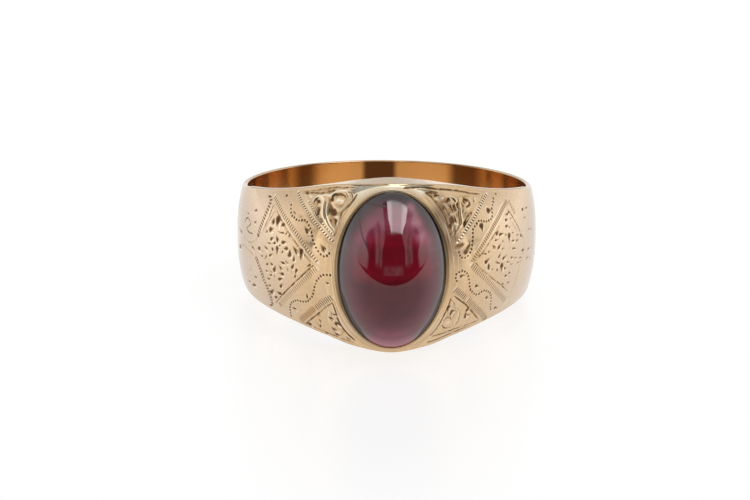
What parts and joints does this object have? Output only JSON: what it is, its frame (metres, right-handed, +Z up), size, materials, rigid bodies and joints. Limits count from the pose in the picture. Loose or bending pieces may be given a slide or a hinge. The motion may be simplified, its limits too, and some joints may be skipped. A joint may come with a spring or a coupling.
{
  "type": "cabochon ring",
  "caption": "Wide tapering gold finger ring with engraved shoulders and an oval domed red stone set flush in a thick head, lying on its side.",
  "frame": {"origin": "middle of the ring's bounding box, on the surface that it lies on", "axes": "+Z up from the surface; the stone faces -Y; +X runs across the finger hole; the hole's axis leans 8.2 degrees back from +Z towards +Y"},
  "size_m": [0.0198, 0.0247, 0.0113],
  "materials": {
    "gold": "polished yellow gold, softly worn",
    "garnet": "polished dark red stone"
  },
  "bodies": {
    "root": {"band": "gold", "cabochon": "garnet"}
  },
  "joints": []
}
